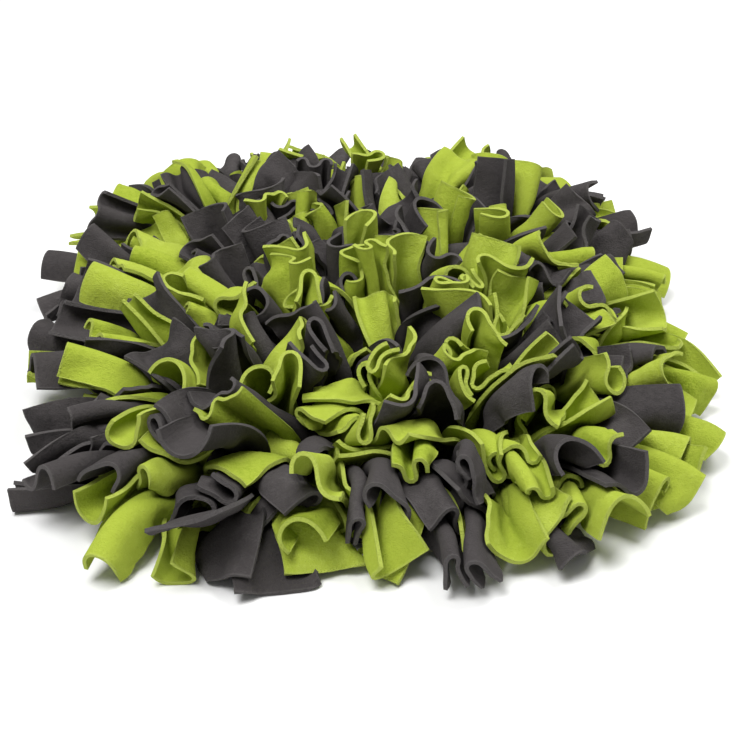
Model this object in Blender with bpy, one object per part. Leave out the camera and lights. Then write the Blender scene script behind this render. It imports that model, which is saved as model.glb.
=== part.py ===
"""Snuffle mat: fleece tails in two colours, rooted in rows on a flat backing and spreading into a low dome.

Metres, +Z up. The origin is the centre of the backing's underside, on the floor. +X runs across the mat,
along the rows of tails, and +Y runs along its length.
"""

import math
import random

import bmesh
import bpy
from mathutils import Vector
from mathutils.bvhtree import BVHTree

COLLECTION_NAME = "snuffle_mat"

# The flat backing
BACKING_WIDTH = 0.232
BACKING_LENGTH = 0.312
BACKING_THICK = 0.003
BACKING_POINTS = 64

# The rows of tails: each row has a green and a charcoal root strip side by side
ROWS = 21
MOST_IN_A_ROW = 15
ROOTS_HALF_WIDTH = 0.108
ROOTS_HALF_LENGTH = 0.147
CORNER_POWER = 4.2
FRONT_POWER = 3.7
ROUNDING = 1.06
STAGGER = 0.22
GAP = 0.0003
STRIP_HEIGHT = 0.003
STRIP_WIDTH = 0.005
STRIP_OFFSET = 0.0034
ROOT_LENGTH = 0.0044
ROOT_TOP = BACKING_THICK + GAP + STRIP_HEIGHT

# The tails
TAIL_LENGTH = 0.054
TAIL_WIDTH = 0.027
FLEECE_THICK = 0.0024
RISE_SHARE = 0.34
BEND_SHARE = 0.65
STEPS = 12
RINGS = (
    # step of the centreline, width as a share of the tail's, fold as a share of the tail's
    (4, 0.50, 0.80),
    (8, 0.84, 1.00),
    (12, 1.00, 0.75),
)
WANDER = 0.07
MOST_LEAN = 1.10
DROOP = 0.55
SQUARENESS = 3.0
FLOOR_LIFT = 0.0002
SOFTNESS = 0.004
EDGE_DROP = 0.014
CLEARANCE = 0.00034
EDGE_SWELL = 2.0
TRIES = 16
WIDTH_SHARES = (0.30, 0.40, 0.50, 0.60, 0.70, 0.80, 0.90, 1.00)
REACH = 2.2 * TAIL_LENGTH
SEED = 11

# Patches of one colour that stand out in the pile, by the place of the tails' tips
PATCHES = (
    # x, y, radius, colour
    (-0.160, 0.057, 0.024, "charcoal"),
    (-0.160, 0.015, 0.024, "charcoal"),
    (-0.160, -0.027, 0.022, "charcoal"),
    (-0.152, -0.085, 0.018, "charcoal"),
    (-0.142, -0.128, 0.018, "charcoal"),
    (0.155, -0.030, 0.024, "green"),
    (0.152, -0.066, 0.022, "green"),
    (0.142, -0.110, 0.020, "green"),
    (0.126, -0.148, 0.018, "green"),
    (-0.104, -0.160, 0.024, "green"),
    (-0.070, -0.182, 0.019, "green"),
    (-0.046, -0.176, 0.010, "charcoal"),
    (-0.027, -0.186, 0.009, "green"),
    (-0.012, -0.190, 0.007, "charcoal"),
    (0.014, -0.188, 0.014, "green"),
    (0.052, -0.186, 0.010, "green"),
    (0.080, -0.173, 0.010, "charcoal"),
    (0.108, -0.163, 0.014, "green"),
    (0.120, 0.066, 0.024, "charcoal"),
    (-0.018, 0.130, 0.018, "charcoal"),
    (-0.060, 0.118, 0.016, "green"),
    (-0.070, -0.048, 0.015, "green"),
    (-0.106, -0.048, 0.013, "charcoal"),
    (-0.113, -0.096, 0.015, "green"),
    (0.000, -0.104, 0.014, "green"),
    (-0.029, -0.080, 0.013, "charcoal"),
    (0.024, 0.028, 0.015, "charcoal"),
    (0.026, -0.138, 0.012, "green"),
    (0.057, -0.048, 0.015, "green"),
    (-0.057, -0.150, 0.013, "green"),
    (0.036, -0.162, 0.011, "charcoal"),
    (0.085, -0.093, 0.015, "charcoal"),
    (0.081, -0.136, 0.012, "green"),
    (0.104, -0.144, 0.012, "charcoal"),
)
PICKED = {
    # colour: row, and x in millimetres, of the roots that have it in any case
    "green": (
        (0, -3), (0, 26), (2, 32), (2, 74), (4, 53), (8, -32), (8, 54), (9, -83), (9, 18),
        (12, -18), (12, 98), (13, 104), (16, -60), (17, -64), (18, -82),
    ),
    "charcoal": (
        (0, -61), (1, -82), (1, -11), (1, 3), (1, 74), (2, -94), (2, -80), (3, 54), (4, -101),
        (10, -46), (11, 3), (13, -54), (13, 3), (13, 32), (15, -25),
    ),
}
ALTERNATING = 0.80
COLOUR_WEIGHTS = (3, 1)

RIGHT_ANGLE = math.pi / 2
COLOURS = ("green", "charcoal")

# Finishes: colour in linear light, roughness
FINISHES = {
    "green": ((0.35, 0.46, 0.045), 0.95),
    "charcoal": ((0.075, 0.068, 0.072), 0.95),
    "backing": ((0.05, 0.05, 0.052), 0.80),
}


def ease(value):
    """Smooth step from 0 at 0 to 1 at 1."""
    value = min(max(value, 0.0), 1.0)
    return value * value * (3 - 2 * value)


def row_half(y):
    """Half the length of the row of roots at y: the field of roots is rounder in front than behind."""
    share = abs(y) / (ROOTS_HALF_LENGTH * ROUNDING)
    power = FRONT_POWER if y < 0 else CORNER_POWER
    return ROOTS_HALF_WIDTH * (1 - share ** power) ** (1 / power)


def lean(x, y):
    """How far a tail rooted at x, y leans out, as shares of a right angle along x and y."""
    across = x / ROOTS_HALF_WIDTH
    along = y / ROOTS_HALF_LENGTH
    return Vector((0.60 * across + 0.46 * across ** 3, 0.50 * along + 0.56 * along ** 3))


def square_length(way):
    """Length of a lean, shorter along the diagonals, so that the mat's corners stay full."""
    return (abs(way.x) ** SQUARENESS + abs(way.y) ** SQUARENESS) ** (1 / SQUARENESS)


def ground(x, y):
    """Height that no tail sinks under: the tops of the roots, and past the backing's edge the floor."""
    across = abs(x) / (BACKING_WIDTH / 2)
    along = abs(y) / (BACKING_LENGTH / 2)
    past_edge = (across ** CORNER_POWER + along ** CORNER_POWER) ** (1 / CORNER_POWER) - 1
    drop = ease(past_edge * BACKING_WIDTH / 2 / EDGE_DROP)
    return (ROOT_TOP + FLEECE_THICK) * (1 - drop) + (FLEECE_THICK / 2 + FLOOR_LIFT) * drop


def row_y(row):
    """Middle of a row of tails."""
    return ((row + 0.5) / ROWS * 2 - 1) * ROOTS_HALF_LENGTH


def strip_y(row, colour):
    """Middle of one colour's root strip in a row."""
    return row_y(row) + (STRIP_OFFSET if colour == "green" else -STRIP_OFFSET)


def patch_colour(x, y):
    """Colour of the patch that the place lies in, if it lies in one."""
    for patch_x, patch_y, radius, colour in PATCHES:
        if math.hypot(x - patch_x, y - patch_y) < radius:
            return colour
    return None


def settled(point):
    """A point of a tail, lifted softly where it would sink into the roots or the floor."""
    low = ground(point.x, point.y)
    rise = point.z - low
    return Vector((point.x, point.y, low + 0.5 * (rise + math.hypot(rise, SOFTNESS))))


def picked_colour(row, x, picked=PICKED):
    """Colour that the root at x in a row has in any case, if it is picked."""
    place = (row, round(x * 1000))
    for colour, places in picked.items():
        if place in places:
            return colour
    return None


class Tail:
    """One free end of a fleece strip, with the draws that make it differ from its neighbours."""

    def __init__(self, row, x, due, draws, spread):
        y = row_y(row)
        leaning = lean(x, y) + Vector((draws.gauss(0, WANDER), draws.gauss(0, WANDER))) * spread
        reach = min(square_length(leaning), MOST_LEAN)
        self.azimuth = math.atan2(leaning.y, leaning.x)
        self.tilt = reach * RIGHT_ANGLE
        self.nod = draws.gauss(0, 0.35) * spread + DROOP * reach ** 3
        self.swerve = draws.gauss(0, 0.22) * spread
        self.turn = draws.uniform(-0.9, 0.9) * RIGHT_ANGLE * (MOST_LEAN - reach)
        self.twist = draws.gauss(0, 0.35)
        self.length = TAIL_LENGTH * draws.uniform(0.88, 1.12)
        self.fold = draws.uniform(0.15, 0.42) * draws.choice((-1, 1))
        self.full_width = TAIL_WIDTH * draws.uniform(0.90, 1.10)
        self.row = row
        self.root = Vector((x, y, ROOT_TOP))
        tip = self.centreline()[-1]
        other = draws.choices(COLOURS, COLOUR_WEIGHTS)[0]
        drawn = due if draws.random() < ALTERNATING else other
        self.colour = picked_colour(row, x) or patch_colour(tip.x, tip.y) or drawn
        self.root.y = strip_y(row, self.colour)

    def widen(self, share):
        """Set the width to a share of the full one."""
        self.share = share
        self.width = self.full_width * share

    def directions(self, share):
        """At a share of the tail's length: the way it runs, and the ways of its width and its face."""
        bent = RISE_SHARE + (1 - RISE_SHARE) * ease(share / BEND_SHARE)
        tilt = self.tilt * bent + self.nod * share * share
        azimuth = self.azimuth + self.swerve * share * share
        outward = Vector((math.cos(azimuth), math.sin(azimuth), 0))
        run = outward * math.sin(tilt) + Vector((0, 0, math.cos(tilt)))
        sideways = Vector((-math.sin(azimuth), math.cos(azimuth), 0))
        upwards = sideways.cross(run)
        angle = self.turn + self.twist * share
        width_way = sideways * math.cos(angle) + upwards * math.sin(angle)
        face_way = upwards * math.cos(angle) - sideways * math.sin(angle)
        return run, width_way, face_way

    def centreline(self):
        """Points along the middle of the tail, from its root to its tip."""
        points = [self.root]
        for number in range(STEPS):
            run = self.directions((number + 0.5) / STEPS)[0]
            points.append(points[-1] + run * self.length / STEPS)
        return points

    def rings(self, margin=0.0, side=0):
        """The folded tail's four-sided sections, swollen by the margin and shifted by it to one side."""
        line = self.centreline()
        half_thick = FLEECE_THICK / 2 + margin
        rings = []
        for step, width_share, fold_share in RINGS:
            run, width_way, face_way = self.directions(step / STEPS)
            half = self.width * width_share / 2
            depth = self.width * self.fold * fold_share
            end = run * margin if step == STEPS else Vector()
            middle = settled(line[step] + face_way * depth / 2) + end
            left = settled(line[step] - width_way * half - face_way * depth / 2) + end
            right = settled(line[step] + width_way * half - face_way * depth / 2) + end
            over = face_way * half_thick
            left_swell = (left - middle).normalized() * EDGE_SWELL * margin
            right_swell = (right - middle).normalized() * EDGE_SWELL * margin
            shift = face_way * margin * side
            ring = (left + left_swell, middle + over, right + right_swell, middle - over)
            rings.append([point + shift for point in ring])
        return rings


def root_corners(tail):
    """The root's corners on top of its root strip, counter-clockwise from above."""
    ways = ((-1, -1), (1, -1), (1, 1), (-1, 1))
    half_x = ROOT_LENGTH / 2
    half_y = STRIP_WIDTH / 2
    return [tail.root + Vector((way_x * half_x, way_y * half_y, 0)) for way_x, way_y in ways]


def least_twist(ring, corners):
    """Which point of the ring follows the first corner, so that the tail's first stretch twists least."""
    ring_middle = sum(ring, Vector()) / 4
    corner_middle = sum(corners, Vector()) / 4

    def twist(start):
        pairs = ((ring[(start + k) % 4] - ring_middle, corners[k] - corner_middle) for k in range(4))
        return sum((ring_way.normalized() - corner_way.normalized()).length for ring_way, corner_way in pairs)

    return min(range(4), key=twist)


def sections(tail, margin=0.0, side=0):
    """The root's corners and the tail's rings, point for point in the same order."""
    corners = root_corners(tail)
    start = least_twist(tail.rings()[0], corners)
    return [corners] + [ring[start:] + ring[:start] for ring in tail.rings(margin, side)]


def solid_tree(stretches):
    """Search tree of the tail's faces, each quad split both ways, for clearance."""
    points = [point for section in stretches for point in section]
    quads = [(4 * level + k, 4 * level + (k + 1) % 4, 4 * level + 4 + (k + 1) % 4, 4 * level + 4 + k)
             for level in range(len(stretches) - 1) for k in range(4)]
    quads.append(tuple(range(len(points) - 4, len(points))))
    faces = []
    for a, b, c, d in quads:
        faces += [(a, b, c), (a, c, d), (a, b, d), (b, c, d)]
    return BVHTree.FromPolygons(points, faces, all_triangles=True)


def strip_tree(row, colour):
    """Search tree of a root strip's outer faces."""
    half = row_half(row_y(row)) + ROOT_LENGTH
    y = strip_y(row, colour)
    box = bmesh.new()
    bmesh.ops.create_cube(box, size=1)
    for vertex in box.verts:
        vertex.co.x *= 2 * half
        vertex.co.y = y + vertex.co.y * STRIP_WIDTH
        vertex.co.z = ROOT_TOP - STRIP_HEIGHT / 2 + vertex.co.z * STRIP_HEIGHT
    tree = BVHTree.FromBMesh(box)
    box.free()
    return tree


def is_clear(tail, trees):
    """Whether the tail touches none of the trees, swollen by the clearance and shifted by it either way."""
    for side in (-1, 1):
        swollen = solid_tree(sections(tail, CLEARANCE, side))
        if any(swollen.overlap(tree) for tree in trees):
            return False
    return True


def root_places():
    """Row and x of every root, and the colour that is due there: along a row the colours take turns."""
    places = []
    for row in range(ROWS):
        half = row_half(row_y(row))
        count = round(MOST_IN_A_ROW * half / ROOTS_HALF_WIDTH)
        shift = STAGGER if row % 2 else -STAGGER
        for column in range(count):
            x = ((column + 0.5 + shift) / count * 2 - 1) * half
            places.append((row, x, COLOURS[(column + row) % 2]))
    return places


def lay_tails():
    """All the tails: each is laid narrow where it is clear of the rest, and then they widen in turn."""
    draws = random.Random(SEED)
    strips = {(row, colour): strip_tree(row, colour) for row in range(ROWS) for colour in COLOURS}
    places = root_places()
    draws.shuffle(places)
    tails = []
    trees = []

    def neighbours(tail):
        near = [tree for other, tree in zip(tails, trees)
                if other is not tail and (other.root - tail.root).length < REACH]
        return near + [tree for (row, colour), tree in strips.items()
                       if abs(row - tail.row) < 6 and (row, colour) != (tail.row, tail.colour)]

    for row, x, due in places:
        for number in range(TRIES):
            tail = Tail(row, x, due, draws, 1 - number / TRIES)
            tail.widen(WIDTH_SHARES[0])
            if is_clear(tail, neighbours(tail)):
                tails.append(tail)
                trees.append(solid_tree(sections(tail)))
                break
    for before, share in zip(WIDTH_SHARES, WIDTH_SHARES[1:]):
        for index, tail in enumerate(tails):
            if tail.share < before:
                continue
            tail.widen(share)
            if is_clear(tail, neighbours(tail)):
                trees[index] = solid_tree(sections(tail))
            else:
                tail.widen(before)
    return tails


def start_object(name, bm):
    """A new object in the mat's collection, with its own material."""
    mesh = bpy.data.meshes.new(name)
    bm.to_mesh(mesh)
    bm.free()
    piece = bpy.data.objects.new(name, mesh)
    bpy.data.collections[COLLECTION_NAME].objects.link(piece)
    colour, roughness = FINISHES[name.split("_")[0]]
    material = bpy.data.materials.new(name)
    material.use_nodes = True
    shader = material.node_tree.nodes["Principled BSDF"]
    shader.inputs["Base Color"].default_value = (*colour, 1)
    shader.inputs["Roughness"].default_value = roughness
    shader.inputs["Metallic"].default_value = 0
    mesh.materials.append(material)
    return piece


def make_backing():
    """The flat backing: a thin slab whose corners are round."""
    bm = bmesh.new()
    bmesh.ops.create_circle(bm, cap_ends=True, segments=BACKING_POINTS, radius=1)
    for vertex in bm.verts:
        out = (abs(vertex.co.x) ** CORNER_POWER + abs(vertex.co.y) ** CORNER_POWER) ** (1 / CORNER_POWER)
        vertex.co = Vector((vertex.co.x * BACKING_WIDTH / 2, vertex.co.y * BACKING_LENGTH / 2, 0)) / out
    grown = bmesh.ops.extrude_face_region(bm, geom=bm.faces[:])
    top = [item for item in grown["geom"] if isinstance(item, bmesh.types.BMVert)]
    bmesh.ops.translate(bm, vec=(0, 0, BACKING_THICK), verts=top)
    bmesh.ops.recalc_face_normals(bm, faces=bm.faces[:])
    return start_object("backing", bm)


def make_row(row, colour, tails):
    """One root strip with the tails of its colour grown from its top."""
    y = strip_y(row, colour)
    low = min(tail.root.x for tail in tails) - ROOT_LENGTH
    high = max(tail.root.x for tail in tails) + ROOT_LENGTH
    bm = bmesh.new()
    bmesh.ops.create_cube(bm, size=1)
    bmesh.ops.scale(bm, vec=(high - low, STRIP_WIDTH, STRIP_HEIGHT), verts=bm.verts)
    bmesh.ops.translate(bm, vec=((low + high) / 2, y, ROOT_TOP - STRIP_HEIGHT / 2), verts=bm.verts)
    for tail in tails:
        for side in (-1, 1):
            cut = Vector((tail.root.x + side * ROOT_LENGTH / 2, 0, 0))
            everything = bm.verts[:] + bm.edges[:] + bm.faces[:]
            bmesh.ops.bisect_plane(bm, geom=everything, plane_co=cut, plane_no=(1, 0, 0))
    for tail in tails:
        stretches = sections(tail)
        face = root_face(bm, tail)
        order = [min(range(4), key=lambda k: (stretches[0][k] - loop.vert.co).length) for loop in face.loops]
        for section in stretches[1:]:
            grown = bmesh.ops.extrude_discrete_faces(bm, faces=[face])
            face = grown["faces"][0]
            for loop, k in zip(face.loops, order):
                loop.vert.co = section[k]
    bmesh.ops.triangulate(bm, faces=bm.faces[:])
    return start_object(f"{colour}_row_{row + 1:02d}", bm)


def root_face(bm, tail):
    """The face on top of the root strip that the tail grows from."""
    return min(
        (face for face in bm.faces if face.normal.z > 0.5),
        key=lambda face: (face.calc_center_median() - tail.root).length,
    )


def main():
    for old in list(bpy.data.objects):
        bpy.data.objects.remove(old, do_unlink=True)
    bpy.context.scene.collection.children.link(bpy.data.collections.new(COLLECTION_NAME))
    make_backing()
    tails = lay_tails()
    for row in range(ROWS):
        for colour in COLOURS:
            members = [tail for tail in tails if tail.row == row and tail.colour == colour]
            if members:
                make_row(row, colour, members)


main()
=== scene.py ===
"""Snuffle mat: fleece strips in two colours, knotted in rows through a flat backing.

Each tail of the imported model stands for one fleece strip. The tails are laid out here again, by the
same draws, and each becomes a full strip of its colour. The strips start small and grow together,
pushing each other aside, until they have the size that they were cut to.
Metres, +Z up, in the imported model's frame.
"""

import math
import random

import bmesh
import bpy
import numpy as np
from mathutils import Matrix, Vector
from mathutils.bvhtree import BVHTree


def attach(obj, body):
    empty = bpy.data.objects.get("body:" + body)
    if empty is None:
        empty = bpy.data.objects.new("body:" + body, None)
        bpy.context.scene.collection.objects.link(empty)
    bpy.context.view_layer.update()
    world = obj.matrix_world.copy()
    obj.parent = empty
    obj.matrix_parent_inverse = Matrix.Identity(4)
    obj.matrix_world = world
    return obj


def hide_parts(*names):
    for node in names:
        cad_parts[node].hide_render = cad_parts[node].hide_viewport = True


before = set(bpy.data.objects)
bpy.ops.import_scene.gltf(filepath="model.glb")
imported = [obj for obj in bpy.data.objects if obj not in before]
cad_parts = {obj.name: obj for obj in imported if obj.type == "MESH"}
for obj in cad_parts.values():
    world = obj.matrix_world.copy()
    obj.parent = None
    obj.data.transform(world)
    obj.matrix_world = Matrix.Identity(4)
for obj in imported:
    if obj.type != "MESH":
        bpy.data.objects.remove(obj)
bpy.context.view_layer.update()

# -------------------------------------------------------- the tails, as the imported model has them

BACKING_WIDTH = 0.232
BACKING_LENGTH = 0.312
BACKING_THICK = 0.003
ROWS = 21
MOST_IN_A_ROW = 15
ROOTS_HALF_WIDTH = 0.108
ROOTS_HALF_LENGTH = 0.147
CORNER_POWER = 4.2
FRONT_POWER = 3.7
ROUNDING = 1.06
STAGGER = 0.22
GAP = 0.0003
STRIP_HEIGHT = 0.003
STRIP_WIDTH = 0.005
STRIP_OFFSET = 0.0034
ROOT_LENGTH = 0.0044
ROOT_TOP = BACKING_THICK + GAP + STRIP_HEIGHT

TAIL_LENGTH = 0.054
TAIL_WIDTH = 0.027
FLEECE_THICK = 0.0024
RISE_SHARE = 0.34
BEND_SHARE = 0.65
STEPS = 12
RINGS = (
    # step of the centreline, width as a share of the tail's, fold as a share of the tail's
    (4, 0.50, 0.80),
    (8, 0.84, 1.00),
    (12, 1.00, 0.75),
)
LEAN_ACROSS = (0.60, 0.46)
LEAN_ALONG = (0.50, 0.56)
WANDER = 0.07
MOST_LEAN = 1.10
DROOP = 0.55
NOD_SPREAD = 0.35
SWERVE_SPREAD = 0.22
TWIST_SPREAD = 0.35
MOST_TURN = 0.9
LENGTH_SHARES = (0.88, 1.12)
WIDTH_SHARES = (0.90, 1.10)
FOLD_SHARES = (0.15, 0.42)
SQUARENESS = 3.0
FLOOR_LIFT = 0.0002
SOFTNESS = 0.004
EDGE_DROP = 0.014
CLEARANCE = 0.00034
EDGE_SWELL = 2.0
TRIES = 16
NARROW = 0.30
REACH = 2.2 * TAIL_LENGTH
NEAR_ROWS = 6
SEED = 11
ALTERNATING = 0.80
COLOUR_WEIGHTS = (3, 1)
PATCHES = (
    # x, y, radius, colour
    (-0.160, 0.057, 0.024, "charcoal"),
    (-0.160, 0.015, 0.024, "charcoal"),
    (-0.160, -0.027, 0.022, "charcoal"),
    (-0.152, -0.085, 0.018, "charcoal"),
    (-0.142, -0.128, 0.018, "charcoal"),
    (0.155, -0.030, 0.024, "green"),
    (0.152, -0.066, 0.022, "green"),
    (0.142, -0.110, 0.020, "green"),
    (0.126, -0.148, 0.018, "green"),
    (-0.104, -0.160, 0.024, "green"),
    (-0.070, -0.182, 0.019, "green"),
    (-0.046, -0.176, 0.010, "charcoal"),
    (-0.027, -0.186, 0.009, "green"),
    (-0.012, -0.190, 0.007, "charcoal"),
    (0.014, -0.188, 0.014, "green"),
    (0.052, -0.186, 0.010, "green"),
    (0.080, -0.173, 0.010, "charcoal"),
    (0.108, -0.163, 0.014, "green"),
    (0.120, 0.066, 0.024, "charcoal"),
    (-0.018, 0.130, 0.018, "charcoal"),
    (-0.060, 0.118, 0.016, "green"),
    (-0.070, -0.048, 0.015, "green"),
    (-0.106, -0.048, 0.013, "charcoal"),
    (-0.113, -0.096, 0.015, "green"),
    (0.000, -0.104, 0.014, "green"),
    (-0.029, -0.080, 0.013, "charcoal"),
    (0.024, 0.028, 0.015, "charcoal"),
    (0.026, -0.138, 0.012, "green"),
    (0.057, -0.048, 0.015, "green"),
    (-0.057, -0.150, 0.013, "green"),
    (0.036, -0.162, 0.011, "charcoal"),
    (0.085, -0.093, 0.015, "charcoal"),
    (0.081, -0.136, 0.012, "green"),
    (0.104, -0.144, 0.012, "charcoal"),
)
PICKED = {
    # colour: row, and x in millimetres, of the roots that have it in any case
    "green": (
        (0, -3), (0, 26), (2, 32), (2, 74), (4, 53), (8, -32), (8, 54), (9, -83), (9, 18),
        (12, -18), (12, 98), (13, 104), (16, -60), (17, -64), (18, -82),
    ),
    "charcoal": (
        (0, -61), (1, -11), (1, 3), (1, 74), (2, -94), (2, -80), (3, 54), (4, -101),
        (10, -46), (11, 3), (13, -54), (13, 3), (13, 32), (15, -25),
    ),
}
RIGHT_ANGLE = math.pi / 2
COLOURS = ("green", "charcoal")


def ease(value):
    """Smooth step from 0 at 0 to 1 at 1, for a number or an array."""
    value = np.clip(value, 0.0, 1.0)
    return value * value * (3 - 2 * value)


def row_half(y):
    """Half the length of the row of roots at y."""
    share = abs(y) / (ROOTS_HALF_LENGTH * ROUNDING)
    power = FRONT_POWER if y < 0 else CORNER_POWER
    return ROOTS_HALF_WIDTH * (1 - share ** power) ** (1 / power)


def lean(x, y):
    """How far a tail rooted at x, y leans out, as shares of a right angle along x and y."""
    across = x / ROOTS_HALF_WIDTH
    along = y / ROOTS_HALF_LENGTH
    return Vector((
        LEAN_ACROSS[0] * across + LEAN_ACROSS[1] * across ** 3,
        LEAN_ALONG[0] * along + LEAN_ALONG[1] * along ** 3,
    ))


def square_length(way):
    """Length of a lean, shorter along the diagonals."""
    return (abs(way.x) ** SQUARENESS + abs(way.y) ** SQUARENESS) ** (1 / SQUARENESS)


def ground(x, y):
    """Height that no cloth sinks under: the tops of the roots, and past the backing the floor."""
    across = abs(x) / (BACKING_WIDTH / 2)
    along = abs(y) / (BACKING_LENGTH / 2)
    past_edge = (across ** CORNER_POWER + along ** CORNER_POWER) ** (1 / CORNER_POWER) - 1
    drop = ease(past_edge * BACKING_WIDTH / 2 / EDGE_DROP)
    return (ROOT_TOP + FLEECE_THICK) * (1 - drop) + (FLEECE_THICK / 2 + FLOOR_LIFT) * drop


def row_y(row):
    """Middle of a row of tails."""
    return ((row + 0.5) / ROWS * 2 - 1) * ROOTS_HALF_LENGTH


def strip_y(row, colour):
    """Middle of one colour's root strip in a row."""
    return row_y(row) + (STRIP_OFFSET if colour == "green" else -STRIP_OFFSET)


def patch_colour(x, y, patches=PATCHES):
    """Colour of the patch that the place lies in, if it lies in one."""
    for patch_x, patch_y, radius, colour in patches:
        if math.hypot(x - patch_x, y - patch_y) < radius:
            return colour
    return None


def picked_colour(row, x, picked=PICKED):
    """Colour that the root at x in a row has in any case, if it is picked."""
    place = (row, round(x * 1000))
    for colour, places in picked.items():
        if place in places:
            return colour
    return None


def settled(point):
    """A point of a tail, lifted softly where it would sink into the roots or the floor."""
    low = ground(point.x, point.y)
    rise = point.z - low
    return Vector((point.x, point.y, low + 0.5 * (rise + math.hypot(rise, SOFTNESS))))


class Tail:
    """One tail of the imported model, with the draws that make it differ from its neighbours."""

    def __init__(self, row, x, due, draws, spread):
        y = row_y(row)
        leaning = lean(x, y) + Vector((draws.gauss(0, WANDER), draws.gauss(0, WANDER))) * spread
        reach = min(square_length(leaning), MOST_LEAN)
        self.azimuth = math.atan2(leaning.y, leaning.x)
        self.tilt = reach * RIGHT_ANGLE
        self.nod = draws.gauss(0, NOD_SPREAD) * spread + DROOP * reach ** 3
        self.swerve = draws.gauss(0, SWERVE_SPREAD) * spread
        self.turn = draws.uniform(-MOST_TURN, MOST_TURN) * RIGHT_ANGLE * (MOST_LEAN - reach)
        self.twist = draws.gauss(0, TWIST_SPREAD)
        self.length = TAIL_LENGTH * draws.uniform(*LENGTH_SHARES)
        self.fold = draws.uniform(*FOLD_SHARES) * draws.choice((-1, 1))
        self.full_width = TAIL_WIDTH * draws.uniform(*WIDTH_SHARES)
        self.row = row
        self.under = 0.0
        self.root = Vector((x, y, ROOT_TOP))
        tip = self.centreline()[-1]
        other = draws.choices(COLOURS, COLOUR_WEIGHTS)[0]
        drawn = due if draws.random() < ALTERNATING else other
        self.colour = picked_colour(row, x) or patch_colour(tip.x, tip.y) or drawn
        self.root.y = strip_y(row, self.colour)

    def directions(self, share):
        """At a share of the tail's length: the ways that it, its width and its face point."""
        bent = RISE_SHARE + (1 - RISE_SHARE) * ease(share / BEND_SHARE)
        tilt = self.tilt * bent + self.nod * share * share
        azimuth = self.azimuth + self.swerve * share * share
        outward = Vector((math.cos(azimuth), math.sin(azimuth), 0))
        run = outward * math.sin(tilt) + Vector((0, 0, math.cos(tilt)))
        sideways = Vector((-math.sin(azimuth), math.cos(azimuth), 0))
        upwards = sideways.cross(run)
        angle = self.turn + self.twist * share
        width_way = sideways * math.cos(angle) + upwards * math.sin(angle)
        face_way = upwards * math.cos(angle) - sideways * math.sin(angle)
        return run, width_way, face_way

    def centreline(self):
        """Points along the middle of the tail, from its root to its tip."""
        points = [self.root]
        for number in range(STEPS):
            run = self.directions((number + 0.5) / STEPS)[0]
            points.append(points[-1] + run * self.length / STEPS)
        return points

    def rings(self, margin=0.0, side=0):
        """The folded tail's sections, swollen by the margin and shifted by it to one side."""
        line = self.centreline()
        half_thick = FLEECE_THICK / 2 + margin
        rings = []
        for step, width_share, fold_share in RINGS:
            run, width_way, face_way = self.directions(step / STEPS)
            half = self.width * width_share / 2
            depth = self.width * self.fold * fold_share
            end = run * margin if step == STEPS else Vector()
            middle = settled(line[step] + face_way * depth / 2) + end
            left = settled(line[step] - width_way * half - face_way * depth / 2) + end
            right = settled(line[step] + width_way * half - face_way * depth / 2) + end
            over = face_way * half_thick
            left_swell = (left - middle).normalized() * EDGE_SWELL * margin
            right_swell = (right - middle).normalized() * EDGE_SWELL * margin
            shift = face_way * margin * side
            ring = (left + left_swell, middle + over, right + right_swell, middle - over)
            rings.append([point + shift for point in ring])
        return rings


def root_corners(tail):
    """The root's corners on top of its root strip."""
    ways = ((-1, -1), (1, -1), (1, 1), (-1, 1))
    half_x = ROOT_LENGTH / 2
    half_y = STRIP_WIDTH / 2
    return [tail.root + Vector((way_x * half_x, way_y * half_y, 0)) for way_x, way_y in ways]


def least_twist(ring, corners):
    """Which point of the ring follows the first corner, for the least twist between them."""
    ring_middle = sum(ring, Vector()) / 4
    corner_middle = sum(corners, Vector()) / 4

    def twist(start):
        """How far the ways to the points lie from those to the corners, from this start on."""
        apart = 0
        for k, corner in enumerate(corners):
            ring_way = (ring[(start + k) % 4] - ring_middle).normalized()
            apart += (ring_way - (corner - corner_middle).normalized()).length
        return apart

    return min(range(4), key=twist)


def sections(tail, margin=0.0, side=0):
    """The root's corners and the tail's rings, point for point in the same order."""
    corners = root_corners(tail)
    start = least_twist(tail.rings()[0], corners)
    return [corners] + [ring[start:] + ring[:start] for ring in tail.rings(margin, side)]


def solid_tree(stretches):
    """Search tree of the tail's faces, each quad split both ways, for clearance."""
    points = [point for section in stretches for point in section]
    edges = [(4 * level + k, 4 * level + (k + 1) % 4)
             for level in range(len(stretches) - 1) for k in range(4)]
    quads = [(a, b, b + 4, a + 4) for a, b in edges]
    quads.append(tuple(range(len(points) - 4, len(points))))
    faces = []
    for a, b, c, d in quads:
        faces += [(a, b, c), (a, c, d), (a, b, d), (b, c, d)]
    return BVHTree.FromPolygons(points, faces, all_triangles=True)


def strip_tree(row, colour):
    """Search tree of a root strip's outer faces."""
    half = row_half(row_y(row)) + ROOT_LENGTH
    y = strip_y(row, colour)
    box = bmesh.new()
    bmesh.ops.create_cube(box, size=1)
    for vertex in box.verts:
        vertex.co.x *= 2 * half
        vertex.co.y = y + vertex.co.y * STRIP_WIDTH
        vertex.co.z = ROOT_TOP - STRIP_HEIGHT / 2 + vertex.co.z * STRIP_HEIGHT
    tree = BVHTree.FromBMesh(box)
    box.free()
    return tree


def is_clear(tail, trees):
    """Whether the tail, swollen by the clearance and shifted by it, touches none of the trees."""
    for side in (-1, 1):
        swollen = solid_tree(sections(tail, CLEARANCE, side))
        if any(swollen.overlap(tree) for tree in trees):
            return False
    return True


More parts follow.
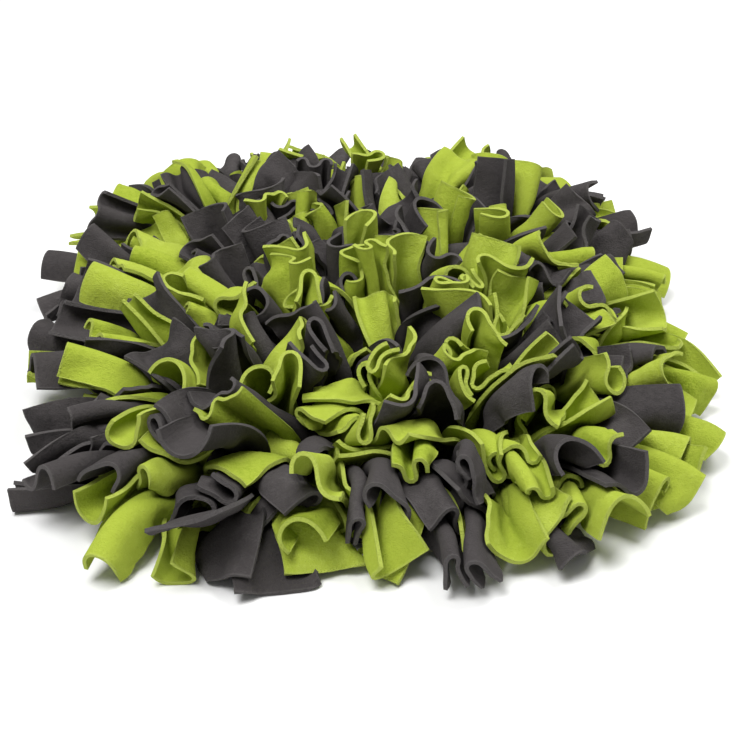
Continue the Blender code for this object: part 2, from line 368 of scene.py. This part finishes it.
def root_places():
    """Row and x of every root, and the colour that is due there, as they take turns."""
    places = []
    for row in range(ROWS):
        half = row_half(row_y(row))
        count = round(MOST_IN_A_ROW * half / ROOTS_HALF_WIDTH)
        shift = STAGGER if row % 2 else -STAGGER
        for column in range(count):
            x = ((column + 0.5 + shift) / count * 2 - 1) * half
            places.append((row, x, COLOURS[(column + row) % 2]))
    return places


def lay_tails():
    """All the tails, each laid narrow where it is clear of the rest."""
    draws = random.Random(SEED)
    strips = {(row, colour): strip_tree(row, colour) for row in range(ROWS) for colour in COLOURS}
    places = root_places()
    draws.shuffle(places)
    tails = []
    trees = []

    def neighbours(tail):
        """Trees of the tails and the root strips that this new tail could touch."""
        near = [tree for other, tree in zip(tails, trees)
                if (other.root - tail.root).length < REACH]
        return near + [tree for (row, colour), tree in strips.items()
                       if abs(row - tail.row) < NEAR_ROWS
                       and (row, colour) != (tail.row, tail.colour)]

    for row, x, due in places:
        for number in range(TRIES):
            tail = Tail(row, x, due, draws, 1 - number / TRIES)
            tail.width = tail.full_width * NARROW
            if is_clear(tail, neighbours(tail)):
                tails.append(tail)
                trees.append(solid_tree(sections(tail)))
                break
    return tails


# -------------------------------------------------------- the fleece strips

# Chance of an added strip between two neighbours of a row
MORE_INSIDE = 0.25
MORE_AT_RIM = 0.80
UNDER_SHARES = (0.3, 1.0)
MORE_PICKED = {
    # colour: row, and x in millimetres, of the added strips that have it in any case
    "green": (
        (0, 62), (4, 32), (14, 76),
    ),
    "charcoal": (
        (0, -54), (0, 33), (1, -46), (1, 38), (3, 76), (6, 76), (10, -10), (13, 97),
    ),
}
UNDER_PATCHES = (
    # x, y, radius, colour
    (-0.160, 0.060, 0.060, "charcoal"),
    (-0.158, -0.040, 0.050, "charcoal"),
    (-0.142, -0.110, 0.030, "charcoal"),
    (-0.112, -0.130, 0.020, "charcoal"),
    (-0.080, -0.150, 0.016, "charcoal"),
    (0.150, 0.090, 0.035, "charcoal"),
    (0.160, 0.010, 0.050, "green"),
    (0.158, -0.080, 0.050, "green"),
    (0.132, -0.142, 0.026, "green"),
    (0.045, -0.160, 0.020, "green"),
    (0.084, -0.150, 0.018, "green"),
)
STRAYS = (
    # row, x, azimuth, length, colour
    (2, -0.098, 3.42, 0.066, "charcoal"),
    (2, 0.090, -0.72, 0.062, "green"),
)

# A strip as cut: the solids' tails are narrower and thicker
STRIP_CUT_WIDTH = 0.036
STRIP_THICK = 0.0016
KNOT_LOW = BACKING_THICK + STRIP_THICK / 2 + GAP
ACROSS = 11
ALONG = 13
DRAPE_SEED = 5
DRAPES = (
    # kind, then shares inside, at the rim and under it, bend from and to, fold from and to,
    # crispness of the fold, wave from and to, and waves in the width
    ("cup", 22, 14, 8, 0.9, 1.7, 0.0, 0.2, 3.0, 0.0, 0.3, 0.80),
    ("tube", 20, 29, 18, 0.2, 0.6, 1.0, 1.4, 2.2, 0.0, 0.2, 0.80),
    ("hairpin", 18, 31, 22, 0.0, 0.3, 1.35, 1.6, 5.0, 0.0, 0.1, 0.80),
    ("wave", 12, 8, 2, 0.0, 0.4, 0.0, 0.1, 3.0, 1.0, 1.7, 0.85),
    ("zigzag", 10, 6, 2, 0.0, 0.3, 0.0, 0.1, 3.0, 1.2, 1.8, 1.40),
    ("crease", 10, 10, 8, 0.0, 0.3, 0.6, 1.2, 7.0, 0.0, 0.3, 0.80),
    ("flat", 8, 2, 40, 0.0, 0.35, 0.0, 0.1, 3.0, 0.0, 0.25, 0.70),
)
RIM_FROM = 0.55
RIM_OVER = 0.40
PLEATS = 1.9
OPEN_BY = 0.55
LEVEL_CHORD = 0.012
LOW_RISE = 0.95
SHORTER_UNDER = 0.22

# Draws that set a strip apart from its tail
FOLD_SHIFT = 0.3
CUT_SHARES = (0.90, 1.05)
LENGTHENING = (0.95, 1.08)
LEAST_NOD = -0.30
MOST_FLOP = 1.1
MORE_NOD = 0.30
MORE_SWERVE = 0.35
MORE_TURN = 0.30
MORE_TILT = 0.35
AZIMUTH_AT_RIM = 0.15
AZIMUTH_MORE_INSIDE = 0.65

# Growing: the strips start at a share of their size and push each other aside
START_SIZE = 0.35
GROWING_STEPS = 50
STEPS_IN_ALL = 70
ROUNDS = 5
APART = 0.0035
SEEN_FROM = 1.25
ROOM_AT_KNOT = 0.35
ROOM_BY = 0.4
START_TOUCH = 0.5
BESIDE = 2
KNOT_PLACES = 3
FREE_FROM = 0.12
ROOT_PULL = 0.25
TIP_PULL = 0.03
LOOSE_BY = 0.5
WEIGHT = 0.0001
STRETCH = 0.9
SHEAR = 0.35
STIFFNESS = 0.25
PUSH = 1.4
SHARING = 0.6
TINY = 1e-9  # keeps a length from being 0


def rim_share(leaning):
    """0 for a tail that leans as those inside do, 1 for one at the rim, from its lean."""
    return ease((leaning - RIM_FROM) / RIM_OVER)


def more_tails(tails):
    """Strips that the model's tails stand for too: some between two neighbours of a row, and most
    of them at the rim, where they leave their knots low and lie under the others."""
    draws = random.Random(DRAPE_SEED)
    more = []
    for row in range(ROWS):
        places = sorted(tail.root.x for tail in tails if tail.row == row)
        for left, right in zip(places, places[1:]):
            x = (left + right) / 2
            at_rim = rim_share(square_length(lean(x, row_y(row))))
            if draws.random() < MORE_INSIDE + (MORE_AT_RIM - MORE_INSIDE) * at_rim:
                strip = Tail(row, x, draws.choice(COLOURS), draws, 1.0)
                strip.under = at_rim * draws.uniform(*UNDER_SHARES)
                tip = strip.centreline()[-1]
                picked = picked_colour(row, x, MORE_PICKED)
                dye(strip, picked or patch_colour(tip.x, tip.y, UNDER_PATCHES) or strip.colour)
                more.append(strip)
    return more


def stray_strips():
    """Strips that lie flat on the floor and stick out at the rim."""
    strays = []
    for row, x, azimuth, length, colour in STRAYS:
        strip = Tail(row, x, colour, random.Random(row), 0.0)
        strip.azimuth = azimuth
        strip.length = length
        strip.nod = 0.0
        strip.swerve = 0.0
        strip.turn = 0.0
        strip.under = 1.0
        dye(strip, colour)
        strays.append(strip)
    return strays


def dye(strip, colour):
    """Give the strip its colour, and move its knot to that colour's strip of knots."""
    strip.colour = colour
    strip.root.y = strip_y(strip.row, colour)


class Strips:
    """All the fleece strips, as points on grids: strip, place along it, place across it."""

    def __init__(self, tails):
        draws = np.random.RandomState(DRAPE_SEED)
        count = len(tails)
        for name in ("azimuth", "tilt", "nod", "swerve", "turn", "twist", "length", "under"):
            setattr(self, name, np.array([getattr(tail, name) for tail in tails])[:, None])
        self.root = np.array([tail.root[:] for tail in tails])[:, None]
        self.count = count
        rim = rim_share(self.tilt / RIGHT_ANGLE)
        self.choose_drapes(draws, rim)
        self.shift = draws.uniform(-FOLD_SHIFT, FOLD_SHIFT, (count, 1, 1))
        self.phase = draws.uniform(0, 2 * math.pi, (count, 1, 1))
        self.width = STRIP_CUT_WIDTH * draws.uniform(*CUT_SHARES, (count, 1, 1))
        self.length = self.length * draws.uniform(*LENGTHENING, (count, 1))
        self.length = self.length * (1 - SHORTER_UNDER * self.under)
        inside = 1 - rim
        self.nod = np.maximum(self.nod + draws.normal(0, MORE_NOD, (count, 1)), LEAST_NOD)
        self.nod = self.nod + draws.uniform(0, MOST_FLOP, (count, 1)) * inside
        self.rise = RISE_SHARE + (LOW_RISE - RISE_SHARE) * self.under
        self.swerve = self.swerve + draws.normal(0, MORE_SWERVE, (count, 1))
        self.turn = self.turn + draws.normal(0, MORE_TURN, (count, 1))
        aside = draws.normal(0, 1, (count, 1))
        self.azimuth = self.azimuth + aside * (AZIMUTH_AT_RIM + AZIMUTH_MORE_INSIDE * inside)
        self.tilt = self.tilt + draws.normal(0, MORE_TILT, (count, 1)) * inside

    def choose_drapes(self, draws, rim):
        """Draw a drape for each strip, by its place, and how strong its bend, fold and wave are."""
        inside, at_rim, under, *shapes = np.array([row[1:] for row in DRAPES]).T
        at_rim = at_rim * (1 - self.under) + under * self.under
        shares = np.cumsum(inside * (1 - rim) + at_rim * rim, axis=1)
        drawn = draws.random_sample((self.count, 1)) * shares[:, -1:]
        kind = (drawn > shares).sum(axis=1)
        bend, most_bend, fold, most_fold, crisp, wave, most_wave, waves = (
            shape[kind][:, None, None] for shape in shapes)
        side = draws.choice((-1.0, 1.0), (self.count, 1, 1))
        between = draws.random_sample((3, self.count, 1, 1))
        self.bend = side * (bend + (most_bend - bend) * between[0])
        self.fold = side * (fold + (most_fold - fold) * between[1])
        self.crisp = crisp
        self.wave = side * (wave + (most_wave - wave) * between[2])
        self.waves = waves

    def add(self, others):
        """Take other strips in behind these."""
        for name, values in vars(others).items():
            if name != "count":
                setattr(self, name, np.concatenate([getattr(self, name), values]))
        self.count += others.count

    def draped(self, size):
        """The shape that each strip tends to when it has grown to a share of its size."""
        along = np.linspace(0, 1, ALONG)
        across = np.linspace(-1, 1, ACROSS)
        bent = self.rise + (1 - self.rise) * ease(along / BEND_SHARE)
        tilt = self.tilt * bent + self.nod * along * along
        azimuth = self.azimuth + self.swerve * along * along
        level = np.stack([np.cos(azimuth), np.sin(azimuth), 0 * azimuth], axis=-1)
        run = level * np.sin(tilt)[..., None] + np.array((0, 0, 1)) * np.cos(tilt)[..., None]
        step = size * self.length[..., None] / (ALONG - 1)
        line = self.root + np.cumsum((run[:, 1:] + run[:, :-1]) / 2 * step, axis=1)
        line = np.concatenate([self.root, line], axis=1)
        sideways = np.stack([-np.sin(azimuth), np.cos(azimuth), 0 * azimuth], axis=-1)
        upwards = np.cross(sideways, run)
        angle = (self.turn + self.twist * along)[..., None]
        width_way = sideways * np.cos(angle) + upwards * np.sin(angle)
        face_way = upwards * np.cos(angle) - sideways * np.sin(angle)
        out, up = self.section(along, across, size)
        beside = out[..., None] * width_way[:, :, None]
        return line[:, :, None] + beside + up[..., None] * face_way[:, :, None]

    def section(self, along, across, size):
        """Each strip's cross sections: pleated at the knot, opening to its own drape at the tip."""
        tip = self.bend * across + self.fold * np.tanh(self.crisp * (across - self.shift))
        tip = tip + self.wave * np.cos(math.pi * self.waves * (across + self.shift))
        pleats = PLEATS * np.sin(2 * math.pi * across + self.phase)
        opened = ease(along / OPEN_BY)[:, None]
        angle = (1 - opened) * pleats + opened * tip
        half = (angle[..., 1:] + angle[..., :-1]) / 2
        step = size * self.width / (ACROSS - 1)
        start = np.zeros(angle.shape[:-1] + (1,))
        out = np.concatenate([start, np.cumsum(np.cos(half) * step, axis=-1)], axis=-1)
        up = np.concatenate([start, np.cumsum(np.sin(half) * step, axis=-1)], axis=-1)
        slope = np.arctan2(up[..., -1:], out[..., -1:])
        chord = np.hypot(up[..., -1:], out[..., -1:])
        slope = slope * np.clip(chord / (LEVEL_CHORD * size), 0, 1)
        cos, sin = np.cos(slope), np.sin(slope)
        out, up = out * cos + up * sin, up * cos - out * sin
        return out - out.mean(axis=-1, keepdims=True), up - up.mean(axis=-1, keepdims=True)


def pairs_within(points, distance):
    """All pairs of points nearer than the distance, found by sorting the points into cells."""
    cells = np.floor((points - points.min(axis=0)) / distance).astype(np.int64) + 1
    sizes = cells.max(axis=0) + 2
    keys = (cells[:, 0] * sizes[1] + cells[:, 1]) * sizes[2] + cells[:, 2]
    order = np.argsort(keys, kind="stable")
    keys = keys[order]
    numbers = np.arange(len(points))
    firsts = []
    seconds = []
    for way in np.ndindex(3, 3, 3):
        offset = ((way[0] - 1) * sizes[1] + way[1] - 1) * sizes[2] + way[2] - 1
        if offset < 0:
            continue
        low = np.searchsorted(keys, keys + offset, "left")
        high = np.searchsorted(keys, keys + offset, "right")
        if offset == 0:
            low = np.maximum(low, numbers + 1)
        counts = np.maximum(high - low, 0)
        starts = np.cumsum(counts) - counts
        firsts.append(order[np.repeat(numbers, counts)])
        seconds.append(order[np.repeat(low - starts, counts) + np.arange(counts.sum())])
    first = np.concatenate(firsts)
    second = np.concatenate(seconds)
    near = ((points[first] - points[second]) ** 2).sum(axis=1) < distance ** 2
    return first[near], second[near]


def meeting_pairs(points, grid):
    """Pairs of points that may touch: not those beside each other or at the knot in a strip."""
    strip, place, column = grid
    first, second = pairs_within(points.reshape(-1, 3), APART * SEEN_FROM)
    beside = abs(place[first] - place[second]) <= BESIDE
    beside &= abs(column[first] - column[second]) <= BESIDE
    at_knot = np.minimum(place[first], place[second]) <= KNOT_PLACES
    kept = (strip[first] != strip[second]) | ~(beside | at_knot)
    return first[kept], second[kept]


def pull(points, first, second, rest, stiffness):
    """Move pairs of points along the line between them towards their rest length."""
    way = points[second] - points[first]
    length = np.sqrt((way * way).sum(axis=-1)) + TINY
    move = (stiffness * (length - rest) / length)[..., None] * way / 2
    points[first] += move
    points[second] -= move


def push_apart(points, first, second, touch):
    """Push points that are nearer than they may be away from each other."""
    way = points[first] - points[second]
    distance = np.sqrt((way * way).sum(axis=1)) + TINY
    hit = distance < touch
    first, second = first[hit], second[hit]
    move = ((touch - distance) / distance / 2)[hit, None] * way[hit]
    count = len(points)
    shared = np.bincount(first, minlength=count) + np.bincount(second, minlength=count)
    for axis, moves in enumerate(move.T):
        away = np.bincount(first, moves, count) - np.bincount(second, moves, count)
        points[:, axis] += away * PUSH / np.maximum(shared, 1) ** SHARING


def hold_cloth(points, strips, full, size):
    """Keep each strip's threads at their length, and its bends at those of its drape."""
    every = slice(None)
    wide = strips.width / (ACROSS - 1) * size
    long = strips.length[..., None] / (ALONG - 1) * size
    slant = np.sqrt(wide ** 2 + long ** 2)
    for side in (0, 1):
        low = slice(side, ALONG - 1, 2)
        high = slice(side + 1, ALONG, 2)
        pull(points, (every, low), (every, high), long, STRETCH)
        left = slice(side, ACROSS - 1, 2)
        right = slice(side + 1, ACROSS, 2)
        pull(points, (every, every, left), (every, every, right), wide, STRETCH)
        pull(points, (every, low, slice(0, -1)), (every, high, slice(1, None)), slant, SHEAR)
        pull(points, (every, low, slice(1, None)), (every, high, slice(0, -1)), slant, SHEAR)
    for side in (0, 1):
        low = np.arange(ALONG - 2)
        low = low[low // 2 % 2 == side]
        rest = full[0][:, low] * size
        pull(points, (every, low), (every, low + 2), rest, STIFFNESS)
        left = np.arange(ACROSS - 2)
        left = left[left // 2 % 2 == side]
        rest = full[1][:, :, left] * size
        pull(points, (every, every, left), (every, every, left + 2), rest, STIFFNESS)


def spans(points):
    """Lengths from each point to the next but one, along the strips and across them."""
    along = np.linalg.norm(points[:, 2:] - points[:, :-2], axis=-1)
    across = np.linalg.norm(points[:, :, 2:] - points[:, :, :-2], axis=-1)
    return along, across


def grow(strips):
    """The strips' points after they have grown among each other and settled."""
    grid = np.indices((strips.count, ALONG, ACROSS)).reshape(3, -1)
    along = np.linspace(0, 1, ALONG)
    room = (APART / 2 * (ROOM_AT_KNOT + (1 - ROOM_AT_KNOT) * ease(along / ROOM_BY)))[grid[1]]
    loose = (ROOT_PULL + (TIP_PULL - ROOT_PULL) * ease(along / LOOSE_BY))[:, None, None]
    free = along[:, None] > FREE_FROM
    full = spans(strips.draped(1.0))
    goal = strips.draped(START_SIZE)
    points = goal.copy()
    steps = STEPS_IN_ALL
    growing = GROWING_STEPS
    for number in range(steps):
        size = START_SIZE + (1 - START_SIZE) * min(1.0, (number + 1) / growing)
        before, goal = goal, strips.draped(size)
        goal[:, :2, :, 2] = np.maximum(goal[:, :2, :, 2], KNOT_LOW)
        points += goal - before
        points += loose * (goal - points)
        points[:, 2:, :, 2] -= WEIGHT * along[2:, None]
        first, second = meeting_pairs(points, grid)
        touch = (room[first] + room[second]) * (START_TOUCH + (1 - START_TOUCH) * size)
        for _ in range(ROUNDS):
            hold_cloth(points, strips, full, size)
            points[:, 0] = goal[:, 0]
            points[:, 1] = 0.5 * (points[:, 1] + goal[:, 1])
            push_apart(points.reshape(-1, 3), first, second, touch)
            low = ground(points[..., 0], points[..., 1]) - (FLEECE_THICK - STRIP_THICK) / 2
            points[..., 2] = np.where(free, np.maximum(points[..., 2], low), points[..., 2])
            points[:, 0] = goal[:, 0]
    return points


# -------------------------------------------------------- materials


class Value:
    """An output socket of a material: sums and products of it are Math nodes."""

    def __init__(self, finish, socket):
        self.finish = finish
        self.socket = socket

    def math(self, operation, *others):
        """The output of a new Math node that has this and the others as its inputs."""
        values = dict(enumerate((self, *others)))
        return self.finish.add("ShaderNodeMath", {"operation": operation}, values)

    def __add__(self, other):
        return self.math("ADD", other)

    def __sub__(self, other):
        return self.math("SUBTRACT", other)

    def __mul__(self, other):
        return self.math("MULTIPLY", other)

    __radd__ = __add__

    def between(self, low, high):
        """0 where this is under low, 1 where it is over high, and smooth between them."""
        settings = {"interpolation_type": "SMOOTHSTEP"}
        inputs = {"Value": self, "From Min": low, "From Max": high}
        return self.finish.add("ShaderNodeMapRange", settings, inputs)


class Finish:
    """A material that is being put together from nodes."""

    def __init__(self, name):
        self.material = bpy.data.materials.new(name)
        self.material.use_nodes = True
        self.nodes = self.material.node_tree.nodes
        self.links = self.material.node_tree.links
        self.shader = self.nodes["Principled BSDF"]

    def add(self, kind, settings=None, inputs=None, output=0):
        """Add a node, set it and its inputs, and return one of its outputs."""
        node = self.nodes.new(kind)
        for name, value in (settings or {}).items():
            setattr(node, name, value)
        for name, value in (inputs or {}).items():
            self.give(node.inputs[name], value)
        return Value(self, node.outputs[output])

    def give(self, socket, value):
        """Link a socket to a value of the material, or set it to a plain one."""
        if isinstance(value, Value):
            self.links.new(value.socket, socket)
        else:
            socket.default_value = value

    def noise(self, place, scale, detail, rough=0.5):
        """Even noise of about 0 to 1 around a half, with so many bumps in a metre."""
        inputs = {"Vector": place, "Scale": scale, "Detail": detail, "Roughness": rough}
        return self.add("ShaderNodeTexNoise", None, inputs)

    def mixed(self, factor, first, second):
        """The first colour where the factor is 0, the second where it is 1."""
        inputs = {0: factor, 6: first, 7: second}
        return self.add("ShaderNodeMix", {"data_type": "RGBA"}, inputs, output=2)

    def bumped(self, height, distance):
        """A normal that follows the height, given in shares of the distance."""
        inputs = {"Height": height, "Distance": distance, "Strength": 1.0}
        return self.add("ShaderNodeBump", None, inputs)

    def shade(self, **inputs):
        """Give the shader's sockets their values or links."""
        for name, value in inputs.items():
            self.give(self.shader.inputs[name.replace("_", " ")], value)


# Linear colours: a painted shadow at the knot end, three tones that noise mixes at random, and the
# colour of the cut edges, paler fibres with a painted highlight
DYES = {
    "green": {
        "shadow": (0.085, 0.12, 0.006, 1),
        "deep": (0.24, 0.325, 0.021, 1),
        "plain": (0.375, 0.46, 0.050, 1),
        "bright": (0.46, 0.55, 0.087, 1),
        "pale_edge_and_highlight": (0.52, 0.61, 0.13, 1),
    },
    "charcoal": {
        "shadow": (0.009, 0.008, 0.008, 1),
        "deep": (0.033, 0.030, 0.030, 1),
        "plain": (0.060, 0.054, 0.054, 1),
        "bright": (0.094, 0.086, 0.085, 1),
        "pale_edge_and_highlight": (0.130, 0.121, 0.119, 1),
    },
}
RUBBER = ((0.026, 0.026, 0.028, 1), (0.042, 0.042, 0.045, 1))
PAPER = (0.92, 0.92, 0.92, 1)


def fleece(name, shadow, deep, plain, bright, pale_edge_and_highlight):
    """Brushed fleece: a soft nap with faint patches, paler cut edges that also carry a painted
    highlight, and painted shade towards the knot.
    """
    finish = Finish(name)
    place = finish.add("ShaderNodeTexCoord", output="Object")
    unwrapped = finish.add("ShaderNodeTexCoord", output="UV")
    across = finish.add("ShaderNodeSeparateXYZ", None, {0: unwrapped}, output="X")
    along = finish.add("ShaderNodeSeparateXYZ", None, {0: unwrapped}, output="Y")
    tint = finish.add("ShaderNodeAttribute", {"attribute_name": "tint"}, output="Fac")
    off_middle = (across * 2.0 - 1.0).math("ABSOLUTE")
    cut = off_middle.between(0.96, 1.0).math("MAXIMUM", along.between(0.98, 1.0))
    patches = finish.noise(place, scale=55.0, detail=3.0)
    nap = finish.noise(place, scale=420.0, detail=4.0, rough=0.65)
    fuzz = finish.noise(place, scale=1500.0, detail=3.0, rough=0.7)
    lightness = tint * 0.4 + patches * 0.5 + nap * 0.7 + fuzz * 0.6 - 0.6
    colour = finish.mixed(lightness.between(0.0, 0.5), deep, plain)
    colour = finish.mixed(lightness.between(0.5, 1.0), colour, bright)
    # The cut edges get a colour that is partly paler fibres and partly a painted highlight where
    # light catches them.
    colour = finish.mixed(cut * (0.25 + fuzz * 0.6), colour, pale_edge_and_highlight)
    # Painted shade: the colour darkens towards the knot, where the packed strips shade each other.
    colour = finish.mixed(along.between(0.10, 0.75), shadow, colour)
    height = nap * 0.7 + fuzz * 0.8 + cut * fuzz * 0.5
    finish.shade(
        Base_Color=colour,
        Roughness=0.88 + nap * 0.12,
        Sheen_Weight=0.25,
        Sheen_Roughness=0.5,
        Sheen_Tint=bright,
        Specular_IOR_Level=0.12,
        Normal=finish.bumped(height, distance=0.0009),
    )
    return finish.material


def rubber(name):
    """Matt dark backing with a faint grain."""
    finish = Finish(name)
    place = finish.add("ShaderNodeTexCoord", output="Object")
    grain = finish.noise(place, scale=700.0, detail=3.0)
    cloudy = finish.noise(place, scale=30.0, detail=2.0)
    finish.shade(
        Base_Color=finish.mixed(cloudy, *RUBBER),
        Roughness=0.68 + grain * 0.2,
        Normal=finish.bumped(grain, distance=0.0003),
    )
    return finish.material


# -------------------------------------------------------- pieces

CRISP_ANGLE = math.radians(60)


def clear_selection():
    """Select nothing."""
    for other in bpy.context.selected_objects:
        other.select_set(False)


def activate(pieces):
    """Select these pieces alone, the first of them active."""
    clear_selection()
    for piece in pieces:
        piece.select_set(True)
    bpy.context.view_layer.objects.active = pieces[0]


def flat_strip():
    """One fleece strip as cut, laid flat: the mesh that every strip starts from."""
    clear_selection()
    bpy.ops.mesh.primitive_grid_add(x_subdivisions=ACROSS - 1, y_subdivisions=ALONG - 1, size=1)
    strip = bpy.context.object
    strip.data.attributes.new("tint", "FLOAT", "POINT")
    bpy.ops.object.shade_smooth()
    return strip


def grid_numbers(strip):
    """For each point of the flat strip, its number along and across."""
    flat = np.empty(len(strip.data.vertices) * 3)
    strip.data.vertices.foreach_get("co", flat)
    across, along, _ = flat.reshape(-1, 3).T + 0.5
    return np.rint(along * (ALONG - 1)).astype(int), np.rint(across * (ACROSS - 1)).astype(int)


def shaped_copy(strip, numbers, points, tint):
    """A copy of the flat strip with its points where they came to lie."""
    piece = strip.copy()
    piece.data = strip.data.copy()
    bpy.context.collection.objects.link(piece)
    placed = points[numbers].astype(np.float32)
    tints = np.full(len(placed), tint, np.float32)
    piece.data.vertices.foreach_set("co", placed.reshape(-1))
    piece.data.attributes["tint"].data.foreach_set("value", tints)
    return piece


def thicken(piece):
    """Give the joined strips smooth bends, their thickness and crisp cut edges."""
    activate([piece])
    smooth = piece.modifiers.new("smooth", "SUBSURF")
    smooth.levels = 1
    smooth.render_levels = 1
    smooth.boundary_smooth = "PRESERVE_CORNERS"
    thick = piece.modifiers.new("thick", "SOLIDIFY")
    thick.thickness = STRIP_THICK
    thick.offset = 0
    for modifier in list(piece.modifiers):
        bpy.ops.object.modifier_apply(modifier=modifier.name)
    bpy.ops.object.shade_smooth_by_angle(angle=CRISP_ANGLE)


def loose_pieces(tails, points):
    """Each tail's grown strip as a piece of its own, in lists by colour and row."""
    tints = random.Random(DRAPE_SEED)
    flat = flat_strip()
    numbers = grid_numbers(flat)
    groups = {}
    for tail, places in zip(tails, points):
        piece = shaped_copy(flat, numbers, places, tints.random())
        groups.setdefault((tail.colour, tail.row), []).append(piece)
    bpy.data.objects.remove(flat, do_unlink=True)
    return groups


def make_row(colour, row, pieces, finish):
    """Join a row's strips of one colour to one piece, in place of the row's tails."""
    activate(pieces)
    if len(pieces) > 1:
        bpy.ops.object.join()
    piece = pieces[0]
    node = f"{colour}_row_{row + 1:02d}"
    piece.name = f"{colour}_strips_{row + 1:02d}"
    thicken(piece)
    piece.data.materials.clear()
    piece.data.materials.append(finish)
    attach(piece, "root")
    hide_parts(node)


def make_rows(tails):
    """One piece for each row and colour, of the strips that have grown from its tails."""
    tails = tails + more_tails(tails)
    strays = stray_strips()
    strips = Strips(tails)
    strips.add(Strips(strays))
    groups = loose_pieces(tails + strays, grow(strips))
    finishes = {colour: fleece(f"{colour}_fleece", **DYES[colour]) for colour in COLOURS}
    for (colour, row), pieces in sorted(groups.items()):
        make_row(colour, row, pieces, finishes[colour])


def dress_backing(finish):
    """The backing keeps its shape and gets a finish with grain."""
    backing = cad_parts["backing"]
    for number in range(len(backing.data.materials)):
        backing.data.materials[number] = finish


# -------------------------------------------------------- studio

CAMERA_RISE = 29.2
CAMERA_DISTANCE = 0.705
CAMERA_TURN = -0.055
CAMERA_TARGET = (0.003, -0.052, 0.02)
FOCAL_PIXELS = 1600
IMAGE_PIXELS = 736
SENSOR = 36
FLOOR_SIZE = 8
WORLD_STRENGTH = 0.27
LIGHTS = (
    # place, size, power
    ((-0.4, -0.5, 1.35), 0.7, 21),
    ((0.6, 0.3, 1.3), 0.7, 14),
)


def make_camera():
    """The camera at the photograph's viewing angle: low in front of one short side."""
    rise = math.radians(CAMERA_RISE)
    cos, sin = math.cos(CAMERA_TURN), math.sin(CAMERA_TURN)

    def turned(x, y, z):
        """The camera's turn about the upright axis, done to a way or a place."""
        return Vector((x * cos - y * sin, x * sin + y * cos, z))

    look = turned(0, math.cos(rise), -math.sin(rise))
    place = turned(*CAMERA_TARGET) - look * CAMERA_DISTANCE
    bpy.ops.object.camera_add(location=place, rotation=look.to_track_quat("-Z", "Y").to_euler())
    camera = bpy.context.object
    camera.data.sensor_width = SENSOR
    camera.data.lens = FOCAL_PIXELS / IMAGE_PIXELS * SENSOR
    bpy.context.scene.camera = camera


def make_light(place, size, power):
    """A square soft light that points at the middle of the mat."""
    bpy.ops.object.light_add(type="AREA", location=place)
    light = bpy.context.object
    light.data.size = size
    light.data.energy = power
    light.rotation_euler = (-Vector(place)).to_track_quat("-Z", "Y").to_euler()


def make_studio():
    """A pale floor, an even white surrounding and two soft lights."""
    clear_selection()
    bpy.ops.mesh.primitive_plane_add(size=FLOOR_SIZE)
    floor = bpy.context.object
    floor.name = "floor"
    paper = Finish("studio_floor")
    paper.shade(Base_Color=PAPER, Roughness=0.9)
    floor.data.materials.append(paper.material)
    world = bpy.data.worlds.new("studio")
    world.use_nodes = True
    background = world.node_tree.nodes["Background"]
    background.inputs["Color"].default_value = (1, 1, 1, 1)
    background.inputs["Strength"].default_value = WORLD_STRENGTH
    bpy.context.scene.world = world
    for place, size, power in LIGHTS:
        make_light(place, size, power)
    make_camera()
    bpy.context.scene.view_settings.view_transform = "Standard"


clear_selection()
make_rows(lay_tails())
dress_backing(rubber("backing_rubber"))
make_studio()
